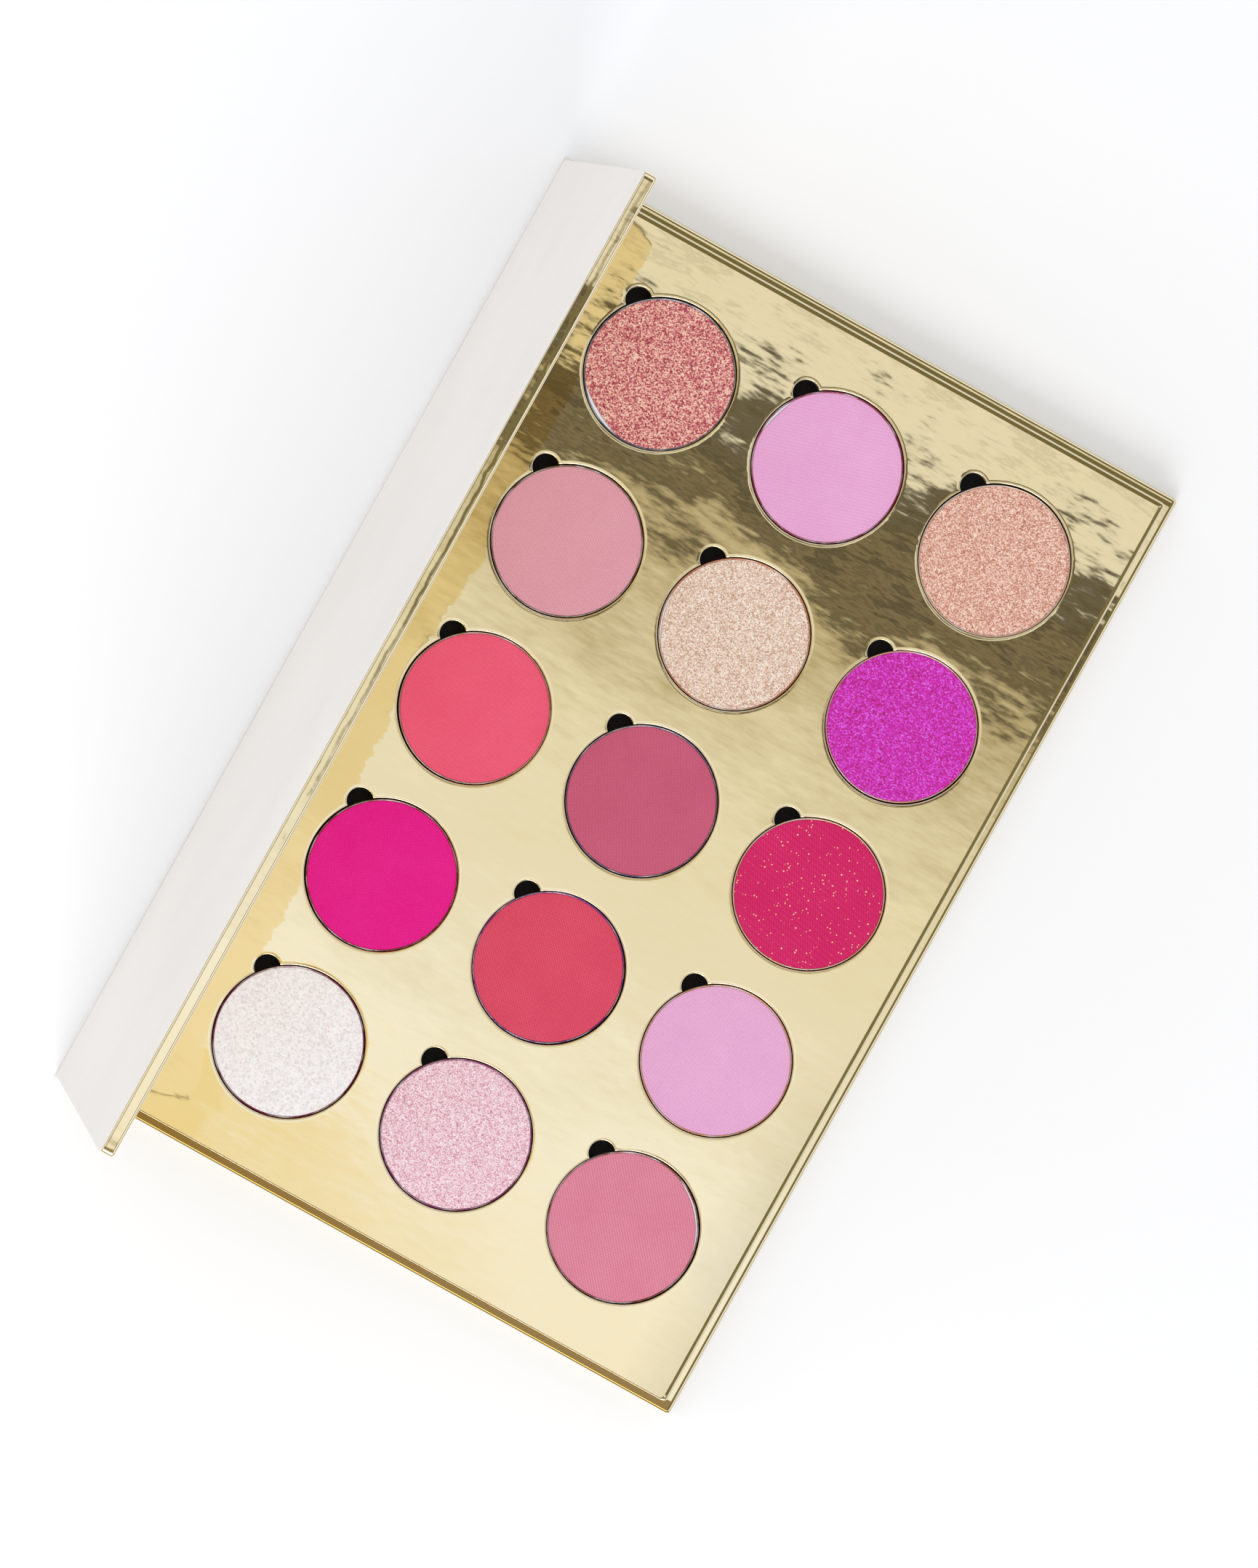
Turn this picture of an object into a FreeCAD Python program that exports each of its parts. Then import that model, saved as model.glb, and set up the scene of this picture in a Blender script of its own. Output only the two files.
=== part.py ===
import FreeCAD, Part
import math
import os

# A book-style cardboard make-up palette, in millimetres.
# X runs across the palette from its spine to its free edge, Y along the spine, Z up from the table.
# The origin is on the table, under the middle of the base. Row 1 is at the +Y end, column 1 by the spine.

Vec = FreeCAD.Vector
tiny = 0.01

# Wrap, boards and their outline
wrap = 0.2
base_width = 122.1
base_length = 182.1
base_board_thickness = 2.0
spine_board_thickness = 2.0
lid_length = 180.8
lid_thickness = 2.5
lid_clearance = 0.4
corner_radius = 0.8
edge_round = 0.45

# Raised tray: magnetic sheet, die-cut spacer board and foil card
ledge_at_free_edge = 1.8
ledge_at_ends = 1.9
magnet_sheet_thickness = 0.8
spacer_thickness = 4.3
card_thickness = 0.5
card_fold_round = 0.4

# Wells, their finger notches, and the round pans that stand in them
rows = 5
columns = 3
pitch_across = 33.2
pitch_along = 33.1
grid_offset = 4.8
well_radius = 13.45
notch_radius = 2.3
notch_distance = 13.4
notch_direction = 135.0
pan_radius = 13.15
pan_height = 4.4
pan_wall = 0.28
pan_heel_round = 0.7
pan_seat_gap = 0.05
powder_gap = 0.02
powder_below_rim = 0.08
powder_edge_round = 0.12

# How far a pan has slid off the middle of its well, across and along, by row and column
settled = {
    (1, 1): (0.05, -0.15),
    (1, 3): (0.10, -0.22),
    (2, 3): (-0.10, 0.15),
    (3, 1): (0.22, 0.10),
    (4, 1): (0.24, 0.00),
    (4, 2): (-0.18, 0.05),
    (5, 3): (-0.20, -0.05),
}

# Closing magnets, a pair in the lid and a pair in the tray
magnet_radius = 4.0
magnet_thickness = 1.5
magnet_inset = 4.9
magnet_spread = 1.5 * pitch_along
magnet_pocket_gap = 0.05

# Paper fold that carries the lid along the top of the spine
fold_radius = 0.5
fold_play = 0.06
lid_joint_gap = 2.3
open_angle = 83.3

# Levels and places that follow from the sizes above
spine_x = -base_width / 2
free_x = base_width / 2
spine_inner_x = spine_x + wrap + spine_board_thickness
board_top = wrap + base_board_thickness
ledge_top = board_top + wrap
well_floor = ledge_top + magnet_sheet_thickness
spacer_top = well_floor + spacer_thickness
tray_top = spacer_top + card_thickness
tray_free_x = free_x - ledge_at_free_edge
tray_length = base_length - 2 * ledge_at_ends
closed_top = tray_top + lid_clearance + lid_thickness
fold_x = spine_x + fold_radius
fold_z = closed_top - fold_radius
spine_top = fold_z - fold_radius - fold_play
lid_hinge_x = fold_x + lid_joint_gap
magnet_x = tray_free_x - magnet_inset
lid_inner_z = tray_top + lid_clearance


def block(x0, x1, y0, y1, z0, z1):
    return Part.makeBox(x1 - x0, y1 - y0, z1 - z0, Vec(x0, y0, z0))


def slab(x0, x1, length, z0, z1):
    return block(x0, x1, -length / 2, length / 2, z0, z1)


def disc(x, y, z, radius, height):
    return Part.makeCylinder(radius, height, Vec(x, y, z))


def rounded(shape, radius, test):
    """Rounds the edges whose middle passes the test."""
    return shape.makeFillet(radius, [edge for edge in shape.Edges if test(edge.CenterOfMass)])


def card(x0, x1, length, z0, z1, corner):
    """A slab whose two upright corners on the free side, at x1, are rounded."""
    shape = slab(x0, x1, length, z0, z1)
    return rounded(shape, corner, lambda p: p.x > x1 - tiny and abs(p.y) > length / 2 - tiny)


def rim_rounded(shape, radius, x1, length, z):
    """Rounds the rim of a card at level z, along its free side and both ends."""
    reach = corner_radius

    def on_rim(p):
        return abs(p.z - z) < tiny and (p.x > x1 - reach or abs(p.y) > length / 2 - reach)

    return rounded(shape, radius, on_rim)


def well_centre(row, column):
    x = grid_offset + (column - (columns + 1) / 2) * pitch_across
    y = ((rows + 1) / 2 - row) * pitch_along
    return x, y


def all_wells():
    return [(row, column) for row in range(1, rows + 1) for column in range(1, columns + 1)]


def well_cutters(z0, z1):
    """One cutter for each well: its round hole joined to the small round finger notch."""
    cutters = []
    angle = math.radians(notch_direction)
    for row, column in all_wells():
        x, y = well_centre(row, column)
        notch_x = x + notch_distance * math.cos(angle)
        notch_y = y + notch_distance * math.sin(angle)
        hole = disc(x, y, z0, well_radius, z1 - z0)
        cutters.append(hole.fuse(disc(notch_x, notch_y, z0, notch_radius, z1 - z0)).removeSplitter())
    return cutters


def base_board():
    return card(spine_inner_x, free_x - wrap, base_length - 2 * wrap, wrap, board_top, corner_radius - wrap)


def base_outer_paper():
    return card(spine_x, free_x, base_length, 0, wrap, corner_radius)


def base_edge_foil():
    """Foil over the inside of the base board and down its three free edges."""
    outer = card(spine_inner_x, free_x, base_length, wrap, ledge_top, corner_radius)
    outer = rim_rounded(outer, edge_round, free_x, base_length, ledge_top)
    return outer.cut(base_board())


def spine_board():
    return slab(spine_x + wrap, spine_inner_x, base_length, wrap, spine_top)


def spine_outer_paper():
    return slab(spine_x, spine_x + wrap, base_length, wrap, spine_top)


def spine_inner_foil():
    """Foil strip on the inside of the spine, from the tray up to the fold."""
    return slab(spine_inner_x, spine_inner_x + wrap, tray_length, tray_top, spine_top)


def hinge_fold():
    """The rolled paper crease along the top of the spine, round about the lid's axis, on its glued tail."""
    start = Vec(fold_x, -lid_length / 2, fold_z)
    crease = Part.makeCylinder(fold_radius, lid_length, start, Vec(0, 1, 0))
    tail = slab(spine_x + wrap / 2, spine_x + 2 * wrap, lid_length, spine_top, fold_z)
    return crease.fuse(tail).removeSplitter()


def tray_core(z0, z1):
    """The block inside the folded foil card, between two levels."""
    return card(spine_inner_x, tray_free_x - wrap, tray_length - 2 * wrap, z0, z1, corner_radius - wrap)


def magnet_sheet():
    return tray_core(ledge_top, well_floor)


def tray_spacer():
    """The die-cut board that makes the wells, with a pocket for each closing magnet."""
    board = tray_core(well_floor, spacer_top)
    pockets = []
    for side in (-1, 1):
        depth = magnet_thickness + magnet_pocket_gap
        radius = magnet_radius + magnet_pocket_gap
        pockets.append(disc(magnet_x, side * magnet_spread, spacer_top - depth, radius, depth))
    return board.cut(well_cutters(well_floor, spacer_top) + pockets)


def tray_foil_card():
    """Foil card over the spacer, folded down on its free side and both ends."""
    outer = card(spine_inner_x, tray_free_x, tray_length, ledge_top, tray_top, corner_radius)
    outer = rim_rounded(outer, card_fold_round, tray_free_x, tray_length, tray_top)
    return outer.cut([tray_core(ledge_top, spacer_top)] + well_cutters(spacer_top, tray_top))


def tray_magnet(side):
    return disc(magnet_x, side * magnet_spread, spacer_top - magnet_thickness, magnet_radius, magnet_thickness)


def pan(row, column):
    """A shallow pressed tin dish."""
    x, y = well_centre(row, column)
    slide_x, slide_y = settled.get((row, column), (0, 0))
    z = well_floor + pan_seat_gap
    outer = disc(x + slide_x, y + slide_y, z, pan_radius, pan_height)
    outer = rounded(outer, pan_heel_round, lambda p: abs(p.z - z) < tiny)
    inner_height = pan_height - pan_wall
    inner = disc(x + slide_x, y + slide_y, z + pan_wall, pan_radius - pan_wall, inner_height)
    inner = rounded(inner, pan_heel_round - pan_wall, lambda p: abs(p.z - z - pan_wall) < tiny)
    return outer.cut(inner)


def powder(row, column):
    """The cake of pressed colour that fills a pan almost to its rim."""
    x, y = well_centre(row, column)
    slide_x, slide_y = settled.get((row, column), (0, 0))
    z = well_floor + pan_seat_gap + pan_wall + powder_gap
    top = well_floor + pan_seat_gap + pan_height - powder_below_rim
    cake = disc(x + slide_x, y + slide_y, z, pan_radius - pan_wall - powder_gap, top - z)
    cake = rounded(cake, pan_heel_round - pan_wall, lambda p: abs(p.z - z) < tiny)
    return rounded(cake, powder_edge_round, lambda p: abs(p.z - top) < tiny)


def opened(shape):
    """Turns a piece of the closed lid about the fold to the angle at which it stands open."""
    turned = shape.copy()
    turned.rotate(Vec(fold_x, 0, fold_z), Vec(0, -1, 0), open_angle)
    return turned


def lid_core():
    z0 = lid_inner_z + wrap
    z1 = closed_top - wrap
    return card(lid_hinge_x, free_x - wrap, lid_length - 2 * wrap, z0, z1, corner_radius - wrap)


def lid_magnet_disc(side, gap=0.0):
    z = lid_inner_z + wrap
    return disc(magnet_x, side * magnet_spread, z, magnet_radius + gap, magnet_thickness + gap)


def lid_board():
    return opened(lid_core().cut([lid_magnet_disc(side, magnet_pocket_gap) for side in (-1, 1)]))


def lid_magnet(side):
    return opened(lid_magnet_disc(side))


def lid_outer_paper():
    start_x = fold_x + fold_radius + fold_play
    return opened(card(start_x, free_x, lid_length, closed_top - wrap, closed_top, corner_radius))


def lid_inner_foil():
    """Foil over the inside of the lid board and up its three free edges."""
    outer = card(lid_hinge_x, free_x, lid_length, lid_inner_z, closed_top - wrap, corner_radius)
    outer = rim_rounded(outer, edge_round, free_x, lid_length, lid_inner_z)
    return opened(outer.cut(lid_core()))


nodes = {
    "base_board": base_board(),
    "base_outer_paper": base_outer_paper(),
    "base_edge_foil": base_edge_foil(),
    "spine_board": spine_board(),
    "spine_outer_paper": spine_outer_paper(),
    "spine_inner_foil": spine_inner_foil(),
    "hinge_fold": hinge_fold(),
    "magnet_sheet": magnet_sheet(),
    "tray_spacer": tray_spacer(),
    "tray_foil_card": tray_foil_card(),
    "tray_magnet_1": tray_magnet(1),
    "tray_magnet_2": tray_magnet(-1),
    "lid_board": lid_board(),
    "lid_outer_paper": lid_outer_paper(),
    "lid_inner_foil": lid_inner_foil(),
    "lid_magnet_1": lid_magnet(1),
    "lid_magnet_2": lid_magnet(-1),
}
for row, column in all_wells():
    nodes[f"pan_row{row}_col{column}"] = pan(row, column)
    nodes[f"powder_row{row}_col{column}"] = powder(row, column)

os.makedirs("parts", exist_ok=True)
for name, shape in nodes.items():
    shape.exportStep(f"parts/{name}.step")
    print(name, "valid" if shape.isValid() else "BROKEN", len(shape.Solids), round(shape.Volume, 1))
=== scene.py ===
import math

import bmesh
import bpy
from mathutils import Matrix, Vector, noise


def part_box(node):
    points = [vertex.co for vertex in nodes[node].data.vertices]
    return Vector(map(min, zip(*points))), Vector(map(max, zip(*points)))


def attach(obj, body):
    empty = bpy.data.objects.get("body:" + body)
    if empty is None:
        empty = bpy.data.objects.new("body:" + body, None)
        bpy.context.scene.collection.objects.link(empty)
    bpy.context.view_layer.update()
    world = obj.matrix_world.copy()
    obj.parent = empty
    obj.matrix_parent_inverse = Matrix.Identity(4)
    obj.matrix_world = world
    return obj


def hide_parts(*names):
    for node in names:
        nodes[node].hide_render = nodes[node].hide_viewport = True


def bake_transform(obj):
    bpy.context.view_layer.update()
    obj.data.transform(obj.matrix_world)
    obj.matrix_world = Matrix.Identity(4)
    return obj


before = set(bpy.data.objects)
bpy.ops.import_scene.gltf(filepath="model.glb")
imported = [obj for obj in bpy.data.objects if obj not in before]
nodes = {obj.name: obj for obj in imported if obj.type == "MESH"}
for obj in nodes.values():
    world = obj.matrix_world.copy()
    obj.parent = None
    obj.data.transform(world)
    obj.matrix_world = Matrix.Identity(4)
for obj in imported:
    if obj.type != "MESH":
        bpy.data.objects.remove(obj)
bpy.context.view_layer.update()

mm = 0.001


# The boards are solid greyboard, pressed in layers from waste paper: the base, the spine, the lid and the
# spacer that makes the wells. They are glued up under the paper and foil, so only cut edges show, deep in
# the wells.
def finish(name):
    """A new material, with its node tree and its main shader."""
    material = bpy.data.materials.new(name)
    material.use_nodes = True
    tree = material.node_tree
    return material, tree, tree.nodes["Principled BSDF"]


def put(tree, kind, inputs=None, **settings):
    """Adds a node, sets it up, then fills or connects its inputs."""
    node = tree.nodes.new("ShaderNode" + kind)
    for key, value in settings.items():
        setattr(node, key, value)
    for key, value in (inputs or {}).items():
        if isinstance(value, bpy.types.NodeSocket):
            tree.links.new(value, node.inputs[key])
        else:
            node.inputs[key].default_value = value
    return node


def sums(tree, operation, a, b=0.0, c=0.0):
    """One sum on numbers."""
    return put(tree, "Math", {0: a, 1: b, 2: c}, operation=operation).outputs[0]


def leans(tree, operation, *inputs):
    """One sum on directions."""
    return put(tree, "VectorMath", dict(enumerate(inputs)), operation=operation).outputs[0]


def grain(tree, per_metre, detail=2.0, roughness=0.5):
    """Noise at the part's own coordinates, with so many grains per metre along each axis."""
    place = put(tree, "TexCoord").outputs["Object"]
    scaled = leans(tree, "MULTIPLY", place, per_metre)
    return put(tree, "TexNoise", {"Vector": scaled, "Scale": 1.0, "Detail": detail, "Roughness": roughness})


def ramp(tree, value, stops):
    """Colours along a value, from a list of places and colours."""
    node = put(tree, "ValToRGB", {0: value})
    bar = node.color_ramp.elements
    while len(bar) < len(stops):
        bar.new(0.5)
    for element, (place, colour) in zip(bar, stops):
        element.position = place
        element.color = (*colour, 1.0)
    return node.outputs[0]


def tint(tree, factor, a, b, mode="MIX"):
    """Mixes two colours, each a socket or three numbers."""
    node = tree.nodes.new("ShaderNodeMix")
    node.data_type = "RGBA"
    node.blend_type = mode
    for index, value in ((0, factor), (6, a), (7, b)):
        if isinstance(value, bpy.types.NodeSocket):
            tree.links.new(value, node.inputs[index])
        else:
            node.inputs[index].default_value = value if index == 0 else (*value, 1.0)
    return node.outputs[2]


def screen(red, green, blue):
    """A colour as it looks on a screen, 0 to 255, turned into light."""
    return tuple(((v / 255 + 0.055) / 1.055) ** 2.4 for v in (red, green, blue))


def dress(material, *names):
    """Gives CAD nodes their finish."""
    for name in names:
        nodes[name].data.materials.clear()
        nodes[name].data.materials.append(material)


greyboard, tree, shader = finish("greyboard")
fibres = grain(tree, (900, 900, 2600), 5.0, 0.7).outputs[0]
layers = grain(tree, (60, 60, 5200), 1.0).outputs[0]
board_shades = [(0.25, screen(92, 86, 78)), (0.5, screen(140, 132, 121)), (0.75, screen(178, 168, 152))]
board_colour = ramp(tree, fibres, board_shades)
board_colour = tint(tree, sums(tree, "MULTIPLY", layers, 0.5), board_colour, screen(104, 98, 90))
tree.links.new(board_colour, shader.inputs["Base Color"])
board_bump = put(tree, "Bump", {"Strength": 0.6, "Distance": 0.08 * mm, "Height": fibres})
tree.links.new(board_bump.outputs[0], shader.inputs["Normal"])
shader.inputs["Roughness"].default_value = 0.92
dress(greyboard, "base_board", "spine_board", "lid_board", "tray_spacer")


# Two pairs of small disc magnets, nickel-plated, hold the lid shut. They are dropped into pockets in the lid
# board and in the tray's spacer before the foil is glued over them.
def part_way(tree, value, start=0.0, end=1.0, low=0.0, high=1.0, **settings):
    """Goes from low to high while a value goes from start to end, and stays there."""
    return put(tree, "MapRange", {0: value, 1: start, 2: end, 3: low, 4: high}, **settings).outputs[0]


nickel, tree, shader = finish("nickel_plate")
scuffs = grain(tree, (2400, 500, 900), 3.0).outputs[0]
nickel_colour = ramp(tree, scuffs, [(0.3, screen(176, 172, 164)), (0.7, screen(214, 211, 205))])
tree.links.new(nickel_colour, shader.inputs["Base Color"])
tree.links.new(part_way(tree, scuffs, low=0.16, high=0.34), shader.inputs["Roughness"])
shader.inputs["Metallic"].default_value = 1.0
dress(nickel, "tray_magnet_1", "tray_magnet_2", "lid_magnet_1", "lid_magnet_2")


# White paper covers the outside. One sheet lies under the base and turns up over the spine, with its ends
# tucked round the ends of the spine board. It has a warm, faintly fibrous, soft-touch face.
wrap = 0.2
corner = 0.8
spine_x = -61.05
free_x = 61.05
base_half = 91.05
spine_top = 9.84
spine_turn = 0.6


def mesh_piece(name, shape, materials):
    """Turns a bmesh in millimetres into a named object with its materials."""
    bmesh.ops.scale(shape, vec=(mm, mm, mm), verts=shape.verts)
    bmesh.ops.recalc_face_normals(shape, faces=shape.faces)
    data = bpy.data.meshes.new(name)
    shape.to_mesh(data)
    shape.free()
    piece = bpy.data.objects.new(name, data)
    bpy.context.scene.collection.objects.link(piece)
    for material in materials:
        data.materials.append(material)
    return piece


def strip(shape, rows):
    """Joins rows of points, all of one length, with four-sided faces."""
    made = [[shape.verts.new(point) for point in row] for row in rows]
    for near, far in zip(made, made[1:]):
        for i in range(len(near) - 1):
            face = shape.faces.new((near[i], near[i + 1], far[i + 1], far[i]))
            face.smooth = True


def arc(x, z, radius, start, end, steps):
    """Points of an arc about a middle, between two angles in degrees."""
    angles = [math.radians(start + (end - start) * k / steps) for k in range(steps + 1)]
    return [(x + radius * math.cos(a), z + radius * math.sin(a)) for a in angles]


def sheet_row(x, z, half, past=0.0):
    """A row of points across a sheet, shorter where it is past the start of its round corners."""
    end = half - corner + math.sqrt(max(0.0, corner ** 2 - max(0.0, past) ** 2))
    return [(x, end * share, z) for share in (-1, -0.998, -0.99, -0.5, 0, 0.5, 0.99, 0.998, 1)]


def thicken(piece, thickness):
    """Gives a sheet its thickness, on the side away from its face."""
    solid = piece.modifiers.new("thickness", "SOLIDIFY")
    solid.thickness = thickness * mm
    solid.offset = -1.0


white_paper, tree, shader = finish("white_paper")
pulp = grain(tree, (700, 700, 700), 6.0, 0.65).outputs[0]
cloud = grain(tree, (22, 22, 22), 3.0).outputs[0]
paper_colour = ramp(tree, cloud, [(0.3, screen(232, 227, 221)), (0.7, screen(238, 234, 228))])
paper_colour = tint(tree, sums(tree, "MULTIPLY", pulp, 0.1), paper_colour, screen(214, 206, 198))
tree.links.new(paper_colour, shader.inputs["Base Color"])
tree.links.new(part_way(tree, pulp, low=0.6, high=0.7), shader.inputs["Roughness"])
paper_bump = put(tree, "Bump", {"Strength": 0.12, "Distance": 0.02 * mm, "Height": pulp})
tree.links.new(paper_bump.outputs[0], shader.inputs["Normal"])
shader.inputs["Specular IOR Level"].default_value = 0.35

shape = bmesh.new()
under = [(free_x - corner * k / 5, 0.0) for k in range(6)] + [(x, 0.0) for x in (59.5, 30, 0, -30, -58)]
under += arc(spine_x + spine_turn, spine_turn, spine_turn, -90, -180, 6)
under += [(spine_x, z) for z in (3.0, 6.0, spine_top)]
strip(shape, [sheet_row(x, z, base_half, x - (free_x - corner)) for x, z in under])
tucked = 0.18
for side in (-1, 1):
    flap = []
    for x, out in ((0.0, 0.0), (0.12, 0.13), (0.35, tucked), (2.1, tucked)):
        end = base_half + out
        over_end = [(end, 0.25), (end, 5.0), (end, 9.7), (end - 0.12, 9.9), (90.2, 9.93)]
        flap.append([(spine_x + x, side * y, z) for y, z in over_end])
    turned_in = []
    for x, y in ((2.1, base_half + tucked), (2.3, base_half + 0.14), (2.4, base_half), (2.4, 89.3)):
        up = [(x, 2.45), (x, 5.0), (x, 9.3), (x, 9.8), (x - 0.35, 9.95)]
        turned_in.append([(spine_x + inner, side * y, z) for inner, z in up])
    strip(shape, flap[::side])
    strip(shape, turned_in[::side])
case_paper = mesh_piece("case_paper", shape, [white_paper])
thicken(case_paper, wrap)
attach(case_paper, "case")
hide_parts("base_outer_paper", "spine_outer_paper")


# Gold mirror foil, laminated to paper, lines the inside: here the base's ledge with its three outer edges and
# the inside of the spine. It is almost a mirror, with the slight streaky waviness of film rolled onto paper.
gold = screen(246, 236, 207)
deep_gold = screen(246, 221, 142)
# brown painted into the ledge foil as shade, on its rounded outer edge at the end by row 5
painted_shade_gold = screen(164, 138, 74)
ripples = ((0.011, (200, 800, 500), 2.6, 0.62), (0.011, (50, 95, 90), 2.0, 0.5))
ledge_start = 88.9
ledge_crease = 89.1
brow_start = 60.2
ledge_tilt = 0.018
brow_lean = 0.045
# where that painted shade starts, along the ledge and up its edge
painted_shade_start = 90.58
painted_shade_level = 1.95


def swing(tree, per_metre, detail, roughness):
    """Directions that swing to and fro about nothing, from place to place."""
    return leans(tree, "SUBTRACT", grain(tree, per_metre, detail, roughness).outputs[1], (0.5, 0.5, 0.5))


def places(tree):
    """The part's own coordinates, along X, Y and Z."""
    return put(tree, "SeparateXYZ", {0: put(tree, "TexCoord").outputs["Object"]}).outputs


def gold_finish(name, colour, bend=None, calm=1.0, painted_shade=None):
    """Mirror foil. bend gives how far its face leans away from flat, from place to place; calm scales its
    ripples; the last argument gives where a darker brown is painted into its colour as shade."""
    material, tree, shader = finish(name)
    sheen = grain(tree, (30, 30, 30), 3.0).outputs[0]
    foil_colour = tint(tree, sums(tree, "MULTIPLY", sheen, 0.25), colour, screen(240, 222, 172))
    if painted_shade:
        foil_colour = tint(tree, painted_shade(tree), foil_colour, painted_shade_gold)
    tree.links.new(foil_colour, shader.inputs["Base Color"])
    shader.inputs["Metallic"].default_value = 1.0
    shader.inputs["Roughness"].default_value = 0.03
    leaning = put(tree, "NewGeometry").outputs["Normal"]
    for depth, per_metre, detail, roughness in ripples:
        wave = swing(tree, per_metre, detail, roughness)
        leaning = leans(tree, "MULTIPLY_ADD", wave, (depth * calm,) * 3, leaning)
    if bend:
        leaning = leans(tree, "ADD", leaning, bend(tree))
    tree.links.new(leans(tree, "NORMALIZE", leaning), shader.inputs["Normal"])
    return material


def ledge_creases(tree):
    """At both ends the ledge's foil falls away to its edge, at the upper end in two steps. Along the free
    side it leans out over its rounded brow."""
    x, y, _ = places(tree)
    out = sums(tree, "ABSOLUTE", y)
    way = part_way(tree, out, ledge_crease * mm, base_half * mm)
    level, fall = (0.0,) * 3, (1.0,) * 3
    creased = [(0.05, level), (0.2, fall), (0.42, fall), (0.5, level), (0.6, level), (0.7, fall), (1.0, fall)]
    smooth = [(0.0, fall), (0.6, (0.8,) * 3), (1.0, (0.5,) * 3)]
    upper = sums(tree, "GREATER_THAN", y, 0.0)
    tilt = tint(tree, upper, ramp(tree, way, smooth), ramp(tree, way, creased))
    tilt = sums(tree, "MULTIPLY", tilt, sums(tree, "GREATER_THAN", out, ledge_start * mm))
    tilt = sums(tree, "MULTIPLY", tilt, sums(tree, "MULTIPLY", sums(tree, "SIGN", y), ledge_tilt))
    brow = part_way(tree, x, brow_start * mm, (brow_start + 0.1) * mm, 0.0, brow_lean)
    return put(tree, "CombineXYZ", {0: brow, 1: tilt}).outputs[0]


def painted_end_shade(tree):
    """Painted shade: a darker brown on the ledge's rounded outer edge at the end by row 5, in place of the
    bright line where that edge mirrors the key softbox.
    """
    _, y, z = places(tree)
    outer = sums(tree, "LESS_THAN", y, -painted_shade_start * mm)
    return sums(tree, "MULTIPLY", outer, sums(tree, "GREATER_THAN", z, painted_shade_level * mm))


lining_foil = gold_finish("lining_foil", deep_gold, calm=0.4)
ledge_foil = gold_finish("ledge_foil", gold, ledge_creases, painted_shade=painted_end_shade)
dress(ledge_foil, "base_edge_foil")
dress(lining_foil, "spine_inner_foil")


# A black magnetic sheet, rubber filled with ferrite and rolled out thin, is glued to the base under the
# spacer and holds the pans. It shows as a matt black floor in each finger notch.
black_sheet, tree, shader = finish("black_magnetic_sheet")
ferrite = grain(tree, (3000, 3000, 3000), 3.0, 0.7).outputs[0]
sheet_colour = ramp(tree, ferrite, [(0.3, screen(24, 21, 22)), (0.8, screen(50, 45, 47))])
tree.links.new(sheet_colour, shader.inputs["Base Color"])
tree.links.new(part_way(tree, ferrite, low=0.6, high=0.85), shader.inputs["Roughness"])
sheet_bump = put(tree, "Bump", {"Strength": 0.5, "Distance": 0.04 * mm, "Height": ferrite})
tree.links.new(sheet_bump.outputs[0], shader.inputs["Normal"])
dress(black_sheet, "magnet_sheet")


# The tray's top is foil-laminated card, die-cut with the wells and their finger notches, folded down on its
# free side and both ends, and glued over the spacer. The cutting die rolls the foil over at each edge.
tray_top = 8.0
card_under = 7.5
core_shows = 0.1
ledge_top = 2.4
tray_spine_x = -58.85
tray_free_x = 59.25
tray_half = 89.15
grid_offset = 4.8
pitch_across = 33.2
pitch_along = 33.1
well_radius = 13.39
well_steps = 156
notch_radius = 2.3
notch_steps = 30
notch_distance = 13.4
notch_direction = math.radians(135)
wells = {}
for row in range(1, 6):
    for column in range(1, 4):
        wells[row, column] = (grid_offset + (column - 2) * pitch_across, (3 - row) * pitch_along)
# margins in from an edge, before it rolls over, and how far the card has dipped there
die_dips = ((0.45, 0.0), (0.32, 0.0006), (0.2, 0.002), (0.08, 0.005))
die_roll = 0.15
fold_dips = ((0.65, 0.0), (0.55, 0.001), (0.45, 0.005), (0.15, 0.020), (0.06, 0.0245))
fold_roll = 0.3


def keyhole(x, y, grow):
    """Outline of a well joined to its notch, grown outwards by a margin."""
    big = well_radius + grow
    small = notch_radius + grow
    gap = notch_distance
    from_well = math.acos((gap * gap + big * big - small * small) / (2 * gap * big))
    from_notch = math.pi - math.acos((gap * gap + small * small - big * big) / (2 * gap * small))
    points = []
    for i in range(well_steps + 1):
        angle = notch_direction + from_well + (2 * math.pi - 2 * from_well) * i / well_steps
        points.append((x + big * math.cos(angle), y + big * math.sin(angle)))
    notch_x = x + gap * math.cos(notch_direction)
    notch_y = y + gap * math.sin(notch_direction)
    for i in range(1, notch_steps):
        angle = notch_direction - from_notch + 2 * from_notch * i / notch_steps
        points.append((notch_x + small * math.cos(angle), notch_y + small * math.sin(angle)))
    return points


def card_outline(x0, x1, half, grow):
    """Outline of a card with two round corners at x1, grown on its three free sides."""
    beside = 0.4
    near = corner + beside
    along = (x0, x0 + beside, x1 - near - beside, x1 - near)
    points = [(x, -half - grow) for x in along]
    points += arc(x1 - corner, corner - half, corner + grow, -90, 0, 8)
    points += [(x1 + grow, near - half), (x1 + grow, half - near)]
    points += arc(x1 - corner, half - corner, corner + grow, 0, 90, 8)
    points += [(x, half + grow) for x in along[::-1]]
    return points


def rolled(dips, radius, bottom, steps):
    """Margins and levels of an edge that dips, rolls over and goes straight down."""
    rings = [(margin + radius, tray_top - dip) for margin, dip in dips]
    rings += arc(radius, tray_top - dips[-1][1] - radius, radius, 90, 180, steps)
    rings.append((0.0, bottom))
    return rings


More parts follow.
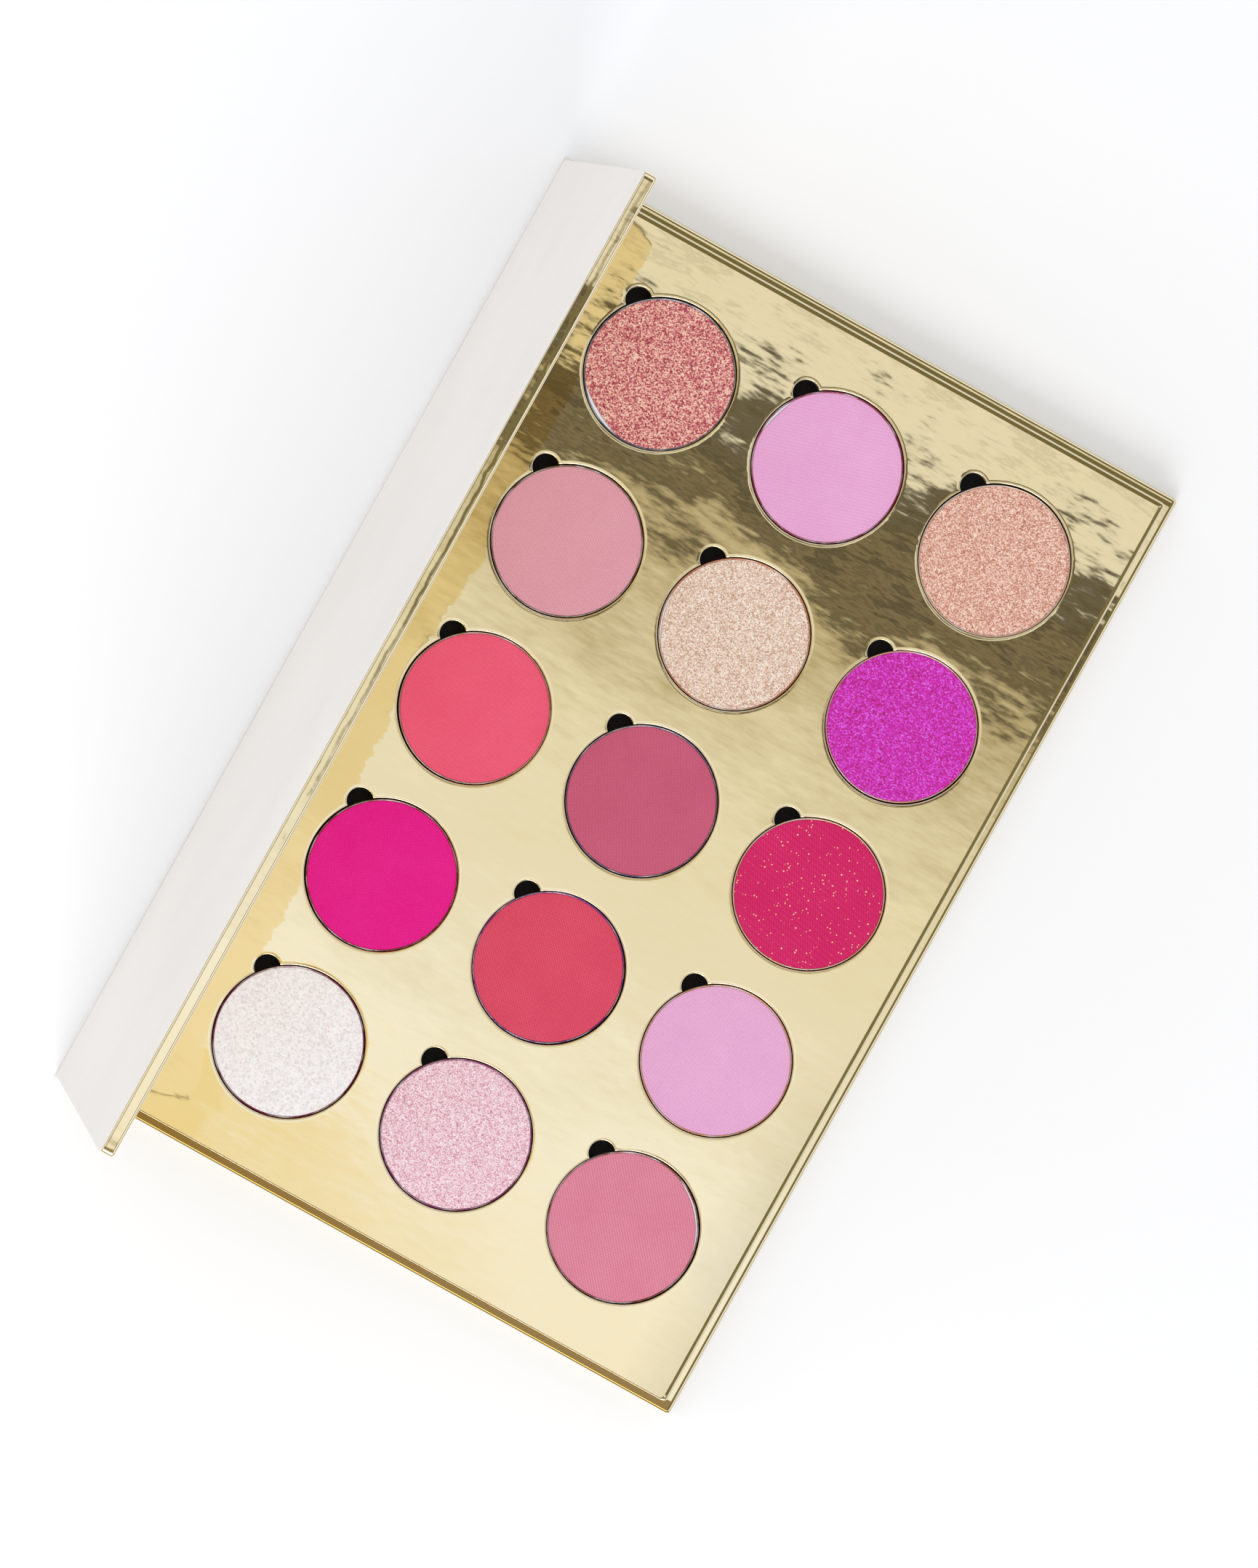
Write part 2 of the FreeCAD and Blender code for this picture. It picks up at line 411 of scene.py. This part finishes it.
def edge_band(shape, loops, core_below=None, flat_from=None):
    """Rings of faces down an edge. Faces below a level are the card's cut core, and from one ring on they are
    flat. Gives the edges of the first ring and of the last."""
    made = [[shape.verts.new(point) for point in loop] for loop in loops]
    for k, (upper, lower) in enumerate(zip(made, made[1:])):
        for i in range(len(upper)):
            j = (i + 1) % len(upper)
            face = shape.faces.new((upper[i], upper[j], lower[j], lower[i]))
            face.smooth = flat_from is None or k < flat_from
            face.material_index = 1 if core_below and lower[i].co.z < core_below else 0
    ends = []
    for ring in (made[0], made[-1]):
        ends.append([shape.edges.get((ring[i - 1], ring[i])) for i in range(len(ring))])
    return ends


def pulled_taut(x, y, z):
    """Draws the fold at the end by row 5 tight, so it is sharper there and hardly dips."""
    corner_room, sharper, shallower = 1.1, 0.25, 0.15
    if y > 0 or x > tray_free_x - corner_room or z <= ledge_top:
        return x, y, z
    drop = tray_top - z
    dip = min(drop, fold_dips[-1][1])
    return x, sharper * (y + tray_half) - tray_half, tray_top - shallower * dip - sharper * (drop - dip)


shape = bmesh.new()
top_edges = []
under_edges = []
for x, y in wells.values():
    rings = rolled(die_dips, die_roll, card_under, 5)
    loops = [[(*point, z) for point in keyhole(x, y, grow)] for grow, z in rings]
    top, under = edge_band(shape, loops, core_below=card_under + core_shows)
    top_edges += top
    under_edges += under
loops = []
for grow, z in rolled(fold_dips, fold_roll, ledge_top, 6):
    outline = card_outline(tray_spine_x, tray_free_x, tray_half, -grow)
    loops.append([pulled_taut(x, y, z) for x, y in outline])
outer_folds = len(loops) - 1
inner_outline = card_outline(tray_spine_x + wrap, tray_free_x, tray_half, -wrap)
for z in (ledge_top, card_under):
    loops.append([(x, y, z) for x, y in inner_outline])
top, under = edge_band(shape, loops, flat_from=outer_folds)
for material_index, edges in enumerate((top_edges + top, under_edges + under)):
    for face in bmesh.ops.triangle_fill(shape, use_beauty=True, edges=edges)["geom"]:
        if isinstance(face, bmesh.types.BMFace):
            face.smooth = False
            face.material_index = material_index


def card_pulls(tree):
    """By the spine the card is pulled down a little, so its face leans towards the lid. Towards row 5 it
    falls away to its free side."""
    fall_start, fall_end, fold_start, most_fall = 47, 58, 58.3, 0.02
    pulled_to, level_from, most_lean = -43, -34, -0.021
    x, y, _ = places(tree)
    fall = part_way(tree, x, fall_start * mm, fall_end * mm, 0.0, most_fall)
    fall = sums(tree, "MULTIPLY", fall, part_way(tree, y, -15 * mm, -45 * mm))
    fall = sums(tree, "MULTIPLY", fall, sums(tree, "LESS_THAN", x, fold_start * mm))
    puckers = sums(tree, "SUBTRACT", grain(tree, (45, 60, 60), 4.0, 0.6).outputs[0], 0.5)
    puckered = sums(tree, "MULTIPLY_ADD", puckers, 22 * mm, x)
    ease = {"interpolation_type": "SMOOTHSTEP"}
    lean = part_way(tree, puckered, pulled_to * mm, level_from * mm, most_lean, 0.0, **ease)
    return put(tree, "CombineXYZ", {0: sums(tree, "ADD", lean, fall)}).outputs[0]


tray_foil = gold_finish("tray_foil", gold, card_pulls)
card_core, tree, shader = finish("cut_card_edge")
pulp = grain(tree, (1500, 1500, 1500), 4.0).outputs[0]
core_colour = ramp(tree, pulp, [(0.3, screen(222, 214, 196)), (0.7, screen(246, 242, 232))])
tree.links.new(core_colour, shader.inputs["Base Color"])
shader.inputs["Roughness"].default_value = 0.85
tray_card = mesh_piece("tray_card", shape, [tray_foil, card_core])
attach(tray_card, "case")
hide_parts("tray_foil_card")


# Fifteen shallow dishes pressed from thin tinplate, with a rounded heel and a rolled rim. They stand on the
# magnetic sheet, a little off the middle of their wells, and each rim carries a smeared film of a colour
# given for its tin.
steel = screen(226, 228, 233)
rim_films = {
    (1, 1): (96, 104, 122), (1, 2): (150, 70, 84), (1, 3): (222, 196, 176),
    (2, 1): (120, 104, 84), (2, 2): (206, 140, 112), (2, 3): (216, 170, 140),
    (3, 1): (170, 150, 140), (3, 2): (112, 108, 132), (3, 3): (226, 190, 160),
    (4, 1): (126, 84, 62), (4, 2): (116, 74, 140), (4, 3): (204, 158, 112),
    (5, 1): (128, 44, 70), (5, 2): (140, 70, 116), (5, 3): (132, 88, 72),
}
film_level = 7.53
heel_round = 0.7
rim_round = 0.14
tin_floor = 0.28
tin_middle = 0.4
tin_bore = 11.8
tin_segments = 96
rim_bead = 0.08
drawn_in = 0.45


def turned(shape, profile, x, y, segments, reach=None):
    """Turns a closed profile of radii and levels about an upright axis. reach can pull each radius in."""
    columns = []
    for i in range(segments):
        angle = 2 * math.pi * i / segments
        ring = []
        for radius, z in profile:
            r = reach(radius, angle, z) if reach else radius
            ring.append(shape.verts.new((x + r * math.cos(angle), y + r * math.sin(angle), z)))
        columns.append(ring)
    for i in range(segments):
        near, far = columns[i], columns[(i + 1) % segments]
        for k in range(len(profile) - 1):
            face = shape.faces.new((near[k], far[k], far[k + 1], near[k + 1]))
            face.smooth = True
    shape.faces.new([ring[0] for ring in columns[::-1]])
    shape.faces.new([ring[-1] for ring in columns])


def tin_finish(name, film):
    """Bright tin, with a smeared film of colour on its rim."""
    material, tree, shader = finish(name)
    smear = grain(tree, (220, 220, 500), 4.0, 0.6).outputs[0]
    on_rim = sums(tree, "GREATER_THAN", places(tree)[2], film_level * mm)
    cover = sums(tree, "MULTIPLY", part_way(tree, smear, 0.35, 0.55, 0.35, 1.0), on_rim)
    tree.links.new(tint(tree, cover, steel, film), shader.inputs["Base Color"])
    tree.links.new(part_way(tree, smear, low=0.18, high=0.42), shader.inputs["Roughness"])
    shader.inputs["Metallic"].default_value = 1.0
    return material


def resting_place(low, high, well):
    """Middle of a pan, which its rolled rim keeps a little nearer the middle of its well than its wall."""
    return [w + drawn_in * ((a + b) / 2 / mm - w) for a, b, w in zip(low, high, well)]


for (row, column), film in rim_films.items():
    tag = f"row{row}_col{column}"
    low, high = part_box(f"pan_{tag}")
    x, y = resting_place(low, high, wells[row, column])
    z0, z1 = low.z / mm, high.z / mm
    radius = (high.x - low.x) / 2 / mm + rim_bead
    profile = [(tin_middle, z0)]
    profile += arc(radius - heel_round, z0 + heel_round, heel_round, -90, 0, 6)
    profile += arc(radius - rim_round, z1 - rim_round, rim_round, 0, 180, 8)
    profile += [(radius - 0.285, z1 - 0.16), (12.88, z1 - 0.18), (12.84, z1 - 0.195), (12.05, z1 - 0.38)]
    profile += [(11.95, z1 - 0.41), (tin_bore, z1 - 0.6), (tin_bore, z0 + 0.6), (11.6, z0 + tin_floor)]
    profile.append((tin_middle, z0 + tin_floor))
    shape = bmesh.new()
    turned(shape, profile, x, y, tin_segments)
    dish = mesh_piece(f"tin_{tag}", shape, [tin_finish(f"tin_{tag}", screen(*film))])
    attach(dish, f"refill_{tag}")
    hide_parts(f"pan_{tag}")


# Cakes of powdered colour, pressed into their tins. A cloth under the press leaves its weave in the matt
# ones, with shade painted into the colour of its grooves, and the shimmering ones are bound with mica
# flakes, whose glints are painted into the colour as bright flecks. Edges crumble a little, and a few
# cakes have slipped off their rim.
cake_segments = 160
cake_middle = 0.3
firm_radius = 10.0
crumbling_depth = 0.3
crumb_size = 0.05
crumbling_width = 2.85


def cake_shape(row, column, worn):
    """A cake that fills its tin, with each worn stretch of its edge given by angle, half width and depth."""
    tag = f"row{row}_col{column}"
    seed = 10 * row + column
    low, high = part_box(f"powder_{tag}")
    x, y = resting_place(low, high, wells[row, column])
    bottom, top = low.z / mm, high.z / mm
    profile = [(cake_middle, bottom), (11.5, bottom), (11.7, bottom + 0.4), (tin_bore, top - 0.6)]
    profile += [(12.94, top - 0.12), (12.93, top - 0.05), (12.86, top - 0.015)]
    profile += [(radius, top) for radius in (12.7, tin_bore, 9.0, 5.0, cake_middle)]

    def reach(radius, angle, z):
        if radius < firm_radius or z < top - crumbling_depth:
            return radius
        crumbs = crumb_size * noise.noise((math.cos(angle) * 9 + seed, math.sin(angle) * 9, z * 4))
        slipped = 0.0
        for middle, half, depth in worn:
            turn = (angle - math.radians(middle) + math.pi) % (2 * math.pi) - math.pi
            away = turn / math.radians(half)
            slipped = max(slipped, depth * (1 - away * away))
        return radius + min(0.0, crumbs) - slipped * (radius - firm_radius) / crumbling_width

    shape = bmesh.new()
    turned(shape, profile, x, y, cake_segments, reach)
    return shape


def weave(tree, turned_by, rib, dash, twill):
    """Height of a press-cloth weave: ribs across one way, broken into dashes along them."""
    place = put(tree, "TexCoord").outputs["Object"]
    spun = put(tree, "Mapping", {"Vector": place, "Rotation": (0, 0, math.radians(turned_by))}).outputs[0]
    split = put(tree, "SeparateXYZ", {0: spun})
    across = sums(tree, "MULTIPLY", split.outputs[0], 2 * math.pi / (rib * mm))
    along = sums(tree, "MULTIPLY", split.outputs[1], 2 * math.pi / (dash * mm))
    along = sums(tree, "MULTIPLY_ADD", across, twill, along)
    dashes = sums(tree, "MULTIPLY_ADD", sums(tree, "SINE", along), 0.35, 0.65)
    ribs = sums(tree, "MULTIPLY_ADD", sums(tree, "SINE", across), 0.5, 0.5)
    return sums(tree, "MULTIPLY", ribs, dashes)


def matt_powder(name, shades, cloth, gold_glitter=False):
    """Shades are the main one, a deep one painted into the weave's grooves as shade, and a pale one.
    cloth gives the weave.
    """
    colour, groove_shade, pale = [screen(*shade) for shade in shades]
    material, tree, shader = finish(name)
    ribs = weave(tree, *cloth)
    dust = grain(tree, (2600, 2600, 2600), 4.0, 0.7).outputs[0]
    patch = grain(tree, (120, 120, 120), 3.0).outputs[0]
    shade = tint(tree, part_way(tree, patch, 0.35, 0.7, 0.0, 0.5), colour, pale)
    # painted shade: the weave's grooves take the deep shade
    shade = tint(tree, part_way(tree, ribs, 0.0, 0.8, 0.7, 0.0), shade, groove_shade)
    shade = tint(tree, part_way(tree, dust, 0.5, 0.75, 0.0, 0.35), shade, pale)
    if gold_glitter:
        # gold glitter, its flakes painted pale cream for both their colour and their glints
        place = put(tree, "TexCoord").outputs["Object"]
        flakes = put(tree, "TexVoronoi", {"Vector": place, "Scale": 2100.0})
        picked = put(tree, "SeparateColor", {0: flakes.outputs["Color"]})
        size = sums(tree, "MULTIPLY", picked.outputs[1], 0.32)
        near = sums(tree, "LESS_THAN", flakes.outputs["Distance"], size)
        glitter_and_glints = sums(tree, "MULTIPLY", near, sums(tree, "GREATER_THAN", picked.outputs[0], 0.6))
        shade = tint(tree, glitter_and_glints, shade, screen(250, 206, 160))
    tree.links.new(shade, shader.inputs["Base Color"])
    height = sums(tree, "MULTIPLY_ADD", dust, 0.5, ribs)
    bump = put(tree, "Bump", {"Strength": 0.6, "Distance": 0.06 * mm, "Height": height})
    tree.links.new(bump.outputs[0], shader.inputs["Normal"])
    shader.inputs["Roughness"].default_value = 0.85
    shader.inputs["Specular IOR Level"].default_value = 0.2
    return material


def mica_powder(name, shades, flake, depth, roughness, metallic):
    """Shades run from the darkest speck to the brightest flake; the brightest are painted glints of the mica
    flakes as well as their colour. Flakes and their depth are in millimetres.
    """
    material, tree, shader = finish(name)
    place = put(tree, "TexCoord").outputs["Object"]
    bits = []
    for size in (flake, flake * 0.55):
        cells = put(tree, "TexVoronoi", {"Vector": place, "Scale": 1000 / size})
        bits.append(put(tree, "SeparateColor", {0: cells.outputs["Color"]}).outputs[0])
    clumps = grain(tree, (260 / flake,) * 3, 3.0).outputs[0]
    value = sums(tree, "MULTIPLY_ADD", bits[0], 0.45, sums(tree, "MULTIPLY", bits[1], 0.3))
    value = sums(tree, "MULTIPLY_ADD", clumps, 0.25, value)
    # the pale end of these shades is painted glints of the flakes, as well as their colour
    stops = [(at, screen(*shade)) for at, shade in zip((0.18, 0.36, 0.5, 0.64, 0.82), shades)]
    tree.links.new(ramp(tree, value, stops), shader.inputs["Base Color"])
    bump = put(tree, "Bump", {"Strength": 0.8, "Distance": depth * mm, "Height": value})
    tree.links.new(bump.outputs[0], shader.inputs["Normal"])
    shader.inputs["Roughness"].default_value = roughness
    shader.inputs["Metallic"].default_value = metallic
    return material


# each cake's slot and finish, by row and column
powders = {
    (1, 1): ("rose_foil", mica_powder(
        "rose_foil_powder",
        [(129, 10, 47), (185, 62, 87), (221, 138, 139), (247, 190, 177), (255, 236, 217)],
        0.24, 0.04, 0.5, 0.1)),
    (1, 2): ("orchid_matte", matt_powder(
        "orchid_powder", [(239, 178, 223), (221, 154, 205), (247, 194, 233)], (-62, 0.40, 0.80, 0.5))),
    (1, 3): ("salmon_shimmer", mica_powder(
        "salmon_shimmer_powder",
        [(169, 91, 74), (201, 133, 112), (224, 172, 152), (244, 204, 186), (255, 239, 226)],
        0.2, 0.02, 0.45, 0.1)),
    (2, 1): ("dusty_rose_matte", matt_powder(
        "dusty_rose_powder", [(235, 170, 188), (214, 147, 166), (242, 183, 200)], (-52, 0.42, 0.44, 0.5))),
    (2, 2): ("champagne_shimmer", mica_powder(
        "champagne_shimmer_powder",
        [(174, 131, 104), (212, 175, 154), (233, 205, 190), (250, 231, 218), (255, 255, 250)],
        0.2, 0.02, 0.45, 0.1)),
    (2, 3): ("violet_metallic", mica_powder(
        "violet_metallic_powder",
        [(164, 0, 85), (196, 1, 151), (212, 23, 185), (220, 49, 215), (230, 123, 247)],
        0.24, 0.04, 0.4, 0.15)),
    (3, 1): ("coral_matte", matt_powder(
        "coral_powder", [(249, 101, 135), (235, 80, 114), (255, 116, 148)], (-50, 0.38, 0.60, 0.5))),
    (3, 2): ("mauve_rose_matte", matt_powder(
        "mauve_rose_powder", [(207, 99, 129), (188, 81, 112), (216, 111, 140)], (20, 0.40, 0.70, 0.5))),
    (3, 3): ("raspberry_glitter", matt_powder(
        "raspberry_powder", [(217, 42, 108), (192, 22, 84), (228, 58, 122)], (-28, 0.42, 1.10, 0.3),
        gold_glitter=True)),
    (4, 1): ("hot_pink_matte", matt_powder(
        "hot_pink_powder", [(244, 31, 155), (219, 11, 128), (251, 53, 168)], (15, 0.38, 0.60, 0.5))),
    (4, 2): ("watermelon_matte", matt_powder(
        "watermelon_powder", [(228, 82, 110), (205, 60, 88), (237, 100, 126)], (-44, 0.40, 0.62, 0.5))),
    (4, 3): ("pink_orchid_matte", matt_powder(
        "pink_orchid_powder", [(236, 178, 218), (218, 155, 200), (244, 195, 228)], (-53, 0.40, 0.40, 0.0))),
    (5, 1): ("pearl_shimmer", mica_powder(
        "pearl_powder",
        [(226, 219, 224), (240, 235, 239), (247, 244, 249), (251, 250, 255), (255, 255, 255)],
        0.4, 0.04, 0.4, 0.0)),
    (5, 2): ("pale_pink_shimmer", mica_powder(
        "pale_pink_shimmer_powder",
        [(192, 112, 137), (222, 168, 185), (238, 200, 213), (246, 220, 231), (255, 248, 255)],
        0.2, 0.025, 0.45, 0.0)),
    (5, 3): ("rose_satin", matt_powder(
        "rose_linen_powder", [(226, 138, 160), (200, 110, 135), (236, 158, 177)], (-40, 0.44, 0.50, 0.5))),
}
slipped_edges = {
    (1, 1): [(-120, 24, 0.62)], (1, 2): [(163, 18, 0.4)], (2, 2): [(-165, 24, 0.3)], (5, 3): [(38, 34, 0.3)],
}
for (row, column), (slot, material) in powders.items():
    tag = f"row{row}_col{column}"
    shape = cake_shape(row, column, slipped_edges.get((row, column), []))
    cake = mesh_piece(f"cake_{tag}", shape, [material])
    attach(cake, f"refill_{tag}")
    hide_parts(f"powder_{tag}")


# The lid hangs on the outer paper, which runs up the spine and on over the lid with a soft crease between.
# Inside, a narrow strip of the foil lining is glued across the same gap.
fold_x = -60.55
fold_z = 10.4
paper_out = 0.5
lining_thickness = 0.02
lid_half = 90.4
open_angle = math.radians(83.3)


def on_lid(along, out):
    """A point of the open lid, from its distance from the fold along the lid and out of the fold's level."""
    x = fold_x + along * math.cos(open_angle) - out * math.sin(open_angle)
    z = fold_z + along * math.sin(open_angle) + out * math.cos(open_angle)
    return x, z


shape = bmesh.new()
crease = [(spine_x - 0.01, 9.3 + 0.12 * k) for k in range(8)]
crease += [on_lid(along, paper_out) for along in (0.15, 0.35, 0.6, 0.85, 1.1)]
strip(shape, [sheet_row(x, z, lid_half) for x, z in crease])
# outer and inner sides of the tuck that closes each end of the fold
tucks = [((-60.9, 9.3), (-58.7, 9.3)), ((-60.9, 9.8), (-58.7, 9.8))]
tucks += [((-60.9, 10.3), (-58.68, 10.3)), ((-60.88, 10.8), (-58.6, 10.8))]
tucks += [(on_lid(along, 0.32), on_lid(along, -1.9)) for along in (0.9, 1.4, 1.9, 2.4)]
for side in (-1, 1):
    closing = []
    for outer, inner in tucks:
        middle = [(a + b) / 2 for a, b in zip(outer, inner)]
        closing.append([(x, side * (lid_half - 0.1), z) for x, z in (outer, middle, inner)])
    strip(shape, closing[::side])
hinge_paper = mesh_piece("hinge_paper", shape, [white_paper])
thicken(hinge_paper, wrap)
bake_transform(hinge_paper)
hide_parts("hinge_fold")

shape = bmesh.new()
lining = [(-58.62, 9.3), (-58.62, 9.7), (-58.6, 10.2), (-58.52, 10.8), (-58.44, 11.4), (-58.36, 12.0)]
lining += [on_lid(2.45, -2.02), on_lid(3.2, -2.03)]
strip(shape, [sheet_row(x, z, lid_half)[::-1] for x, z in lining])
hinge_lining = mesh_piece("hinge_lining", shape, [lining_foil])
thicken(hinge_lining, lining_thickness)
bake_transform(hinge_lining)


# The lid is one board, wrapped in white paper outside and in gold foil inside. The foil is turned over its
# free edges to meet the paper. By the fold the paper sinks into the gap where there is no board.
lid_reach = 121.6
gap_middle = 2.2
gap_half = 1.5
gap_depth = 0.34
stations = [1.1, 1.5, 2.0, 2.5, 3.0, 3.6, 4.4, 6, 20, 40, 60, 80, 100, 115, 119]
stations += [lid_reach - corner + 0.1 * k for k in range(9)]
shape = bmesh.new()
rows = []
for along in stations:
    sunk = gap_depth * max(0.0, 1 - ((along - gap_middle) / gap_half) ** 2) ** 2
    x, z = on_lid(along, paper_out - sunk)
    rows.append(sheet_row(x, z, lid_half, along - (lid_reach - corner)))
strip(shape, rows)
lid_paper = mesh_piece("lid_paper", shape, [white_paper])
thicken(lid_paper, wrap)
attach(lid_paper, "lid")
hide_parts("lid_outer_paper")

lid_hinge_x = -58.25
lid_inside_z = 8.4
inside_round = 0.45
edge_middle = 9.66
edge_half = 0.8
edge_crown = 0.009
edge_top = 10.46
outside_round = 0.22
rings = arc(-inside_round, lid_inside_z + inside_round, inside_round, -90, -15, 5)
for z in (8.86, 9.0, 9.2, 9.4, edge_middle, 9.9, 10.1, 10.3, edge_top):
    rings.append((edge_crown * (1 - ((z - edge_middle) / edge_half) ** 2), z))
rings += arc(-outside_round, edge_top, outside_round, 18, 90, 4)
shape = bmesh.new()
loops = []
for grow, z in rings:
    loop = []
    for x, y in card_outline(lid_hinge_x, free_x, lid_half, grow):
        open_x, open_z = on_lid(x - fold_x, z - fold_z)
        loop.append((open_x, y, open_z))
    loops.append(loop)
inside, back = edge_band(shape, loops)
for material_index, edges in ((1, inside), (0, back)):
    for face in bmesh.ops.contextual_create(shape, geom=edges)["faces"]:
        face.smooth = False
        face.material_index = material_index


def edge_dents(tree):
    """Where it is drawn over the board's edge the foil is dented here and there."""
    return leans(tree, "MULTIPLY", swing(tree, (90, 130, 90), 3.0, 0.6), (0.05, 0.018, 0.0))


lid_edge_foil = gold_finish("lid_edge_foil", gold, edge_dents)
lid_lining = mesh_piece("lid_lining", shape, [lid_edge_foil, lining_foil])
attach(lid_lining, "lid")
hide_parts("lid_inner_foil")


# The floor is a wide pale sheet of matt painted board. The palette lies loose on it, and it takes the
# palette's soft shadow. It is not part of the palette.
floor_half = 6000
floor_level = -0.3
floor_paint, tree, shader = finish("pale_floor")
speckle = grain(tree, (3, 3, 3), 4.0).outputs[0]
floor_colour = ramp(tree, speckle, [(0.3, (0.93,) * 3), (0.7, (0.95,) * 3)])
tree.links.new(floor_colour, shader.inputs["Base Color"])
shader.inputs["Roughness"].default_value = 0.9
shader.inputs["Specular IOR Level"].default_value = 0.0
shape = bmesh.new()
ends = (-floor_half, floor_half)
strip(shape, [[(x, y, floor_level) for x in ends] for y in ends])
floor = mesh_piece("floor", shape, [floor_paint])


# Soft white studio light comes from all round, as in a cloth tent. Overhead hangs a dark boom arm made of
# three tubes, with its cable and some slats, and the foil mirrors them as a band of streaks.
overhead = 1757.8
white = (1.0, 1.0, 1.0)
clear = (0.0, 0.0, 0.0)
cloth = (0.88, 0.84, 0.72)
far_cloth = (0.95, 0.93, 0.88)
seam = (0.32, 0.26, 0.16)
tube = (0.05, 0.042, 0.025)
cable = (0.26, 0.21, 0.11)
slat = (0.20, 0.17, 0.08)
warm_card = (0.92, 0.80, 0.49)
back_wall = (0.18, 0.148, 0.065)
front_wall = (0.33, 0.24, 0.12)
world = bpy.data.worlds.new("studio")
bpy.context.scene.world = world
world.use_nodes = True
tree = world.node_tree
lighting = tree.nodes["Background"]
lighting.inputs["Color"].default_value = (0.99, 1.0, 1.03, 1.0)
lighting.inputs["Strength"].default_value = 0.88
ray_x, ray_y, ray_z = put(tree, "SeparateXYZ", {0: put(tree, "TexCoord").outputs["Generated"]}).outputs
rise = sums(tree, "MAXIMUM", ray_z, 0.02)
lean_x = sums(tree, "DIVIDE", ray_x, rise)
lean_y = sums(tree, "DIVIDE", ray_y, rise)
beside = sums(tree, "ABSOLUTE", lean_x)

# places along the palette, in millimetres from the point right overhead
boom = [(-180, front_wall), (-136, front_wall), (-126, (1.0, 0.97, 0.88)), (-80, white)]
boom += [(-50, (0.89, 0.87, 0.79)), (-20, (0.87, 0.835, 0.70))]
boom += [(-2, (0.75, 0.70, 0.55)), (23, (0.50, 0.43, 0.27))]
boom += [(30.2, tube), (32.3, tube), (34.2, seam), (36.2, seam), (38.2, tube), (42.3, tube), (44.2, seam)]
boom += [(46.2, tube), (51.2, tube), (54.2, cloth), (69.8, cloth), (70.6, cable), (71.3, cable), (72, cloth)]
boom += [(81.2, cloth), (86.2, back_wall), (140, back_wall)]
first, last = boom[0][0], boom[-1][0]
along = part_way(tree, lean_y, first / overhead, last / overhead)
band = ramp(tree, along, [((place - first) / (last - first), colour) for place, colour in boom])
above = tint(tree, part_way(tree, beside, 0.30, 0.42), band, white)

faint = (0.2,) * 3
slats = [(0.11, clear), (0.2, faint), (0.24, white), (0.345, white), (0.365, clear)]
slats += [(0.6, clear), (0.64, white), (0.74, white), (0.78, clear)]
above = tint(tree, ramp(tree, part_way(tree, beside, 0.0, 0.5), slats), above, slat)

half_dark = (0.45,) * 3
flag = [(0.456, clear), (0.476, white), (0.524, white), (0.544, clear)]
flag = ramp(tree, part_way(tree, lean_x, 0.0, 0.5), flag)
flag_length = [(0.0, clear), (0.12, half_dark), (0.4, white), (0.88, white), (0.93, half_dark)]
flag_length = ramp(tree, part_way(tree, lean_y, -0.03, 0.04), flag_length)
above = tint(tree, sums(tree, "MULTIPLY", flag, flag_length), above, slat)

card_end = part_way(tree, lean_y, -0.046, -0.056)
card_side = part_way(tree, lean_x, 0.036, -0.006)
above = tint(tree, sums(tree, "MULTIPLY", card_end, card_side), above, warm_card, "MULTIPLY")
above = tint(tree, part_way(tree, sums(tree, "ABSOLUTE", lean_y), 0.17, 0.3), above, far_cloth)

walls = [(0.0, (0.16, 0.14, 0.11)), (0.25, (0.25, 0.22, 0.17)), (0.5, (0.9, 0.89, 0.86)), (0.7, white)]
tent = tint(tree, part_way(tree, ray_z, 0.85, 0.93), ramp(tree, ray_z, walls), above)
shown = put(tree, "Background", {"Color": tent, "Strength": 1.0})
path = put(tree, "LightPath")
sees = sums(tree, "MAXIMUM", path.outputs["Is Camera Ray"], path.outputs["Is Glossy Ray"])
sees = sums(tree, "MAXIMUM", sees, path.outputs["Is Transmission Ray"])
both = put(tree, "MixShader", {0: sees, 1: lighting.outputs[0], 2: shown.outputs[0]})
tree.links.new(both.outputs[0], tree.nodes["World Output"].inputs["Surface"])


def softbox(name, place, size, watts):
    """A square lamp turned towards the palette."""
    data = bpy.data.lights.new(name, "AREA")
    data.shape = "SQUARE"
    data.size = size
    data.energy = watts
    lamp = bpy.data.objects.new(name, data)
    lamp.location = place
    aim = Vector((0, 0, 0.02)) - Vector(place)
    lamp.rotation_euler = aim.to_track_quat("-Z", "Y").to_euler()
    bpy.context.scene.collection.objects.link(lamp)


softbox("key_softbox", (0.25, -1.25, 1.35), 0.9, 9.5)
softbox("side_softbox", (-1.5, -0.35, 0.7), 0.8, 2.2)


# The camera stands on a tall arm, almost straight above the palette. It is turned so that the spine runs from
# lower left to upper right, and has a long lens, so that the open lid is hardly spread.
frame_height = 2156
focal_length = 13885.7
lens = bpy.data.cameras.new("camera")
lens.sensor_fit = "VERTICAL"
lens.sensor_height = 24.0
lens.lens = lens.sensor_height * focal_length / frame_height
lens.clip_end = 50
camera = bpy.data.objects.new("camera", lens)
right = Vector((0.873719, 0.486265, 0.012719))
down = Vector((0.486006, -0.873749, 0.018971))
ahead = Vector((0.020338, -0.010393, -0.999739))
turned_to = Matrix((right, -down, -ahead)).transposed().to_4x4()
stands_at = (-0.03414, 0.01975, 1.75783)
camera.matrix_world = Matrix.Translation(stands_at) @ turned_to
bpy.context.scene.collection.objects.link(camera)
bpy.context.scene.camera = camera
bpy.context.scene.view_settings.view_transform = "Standard"
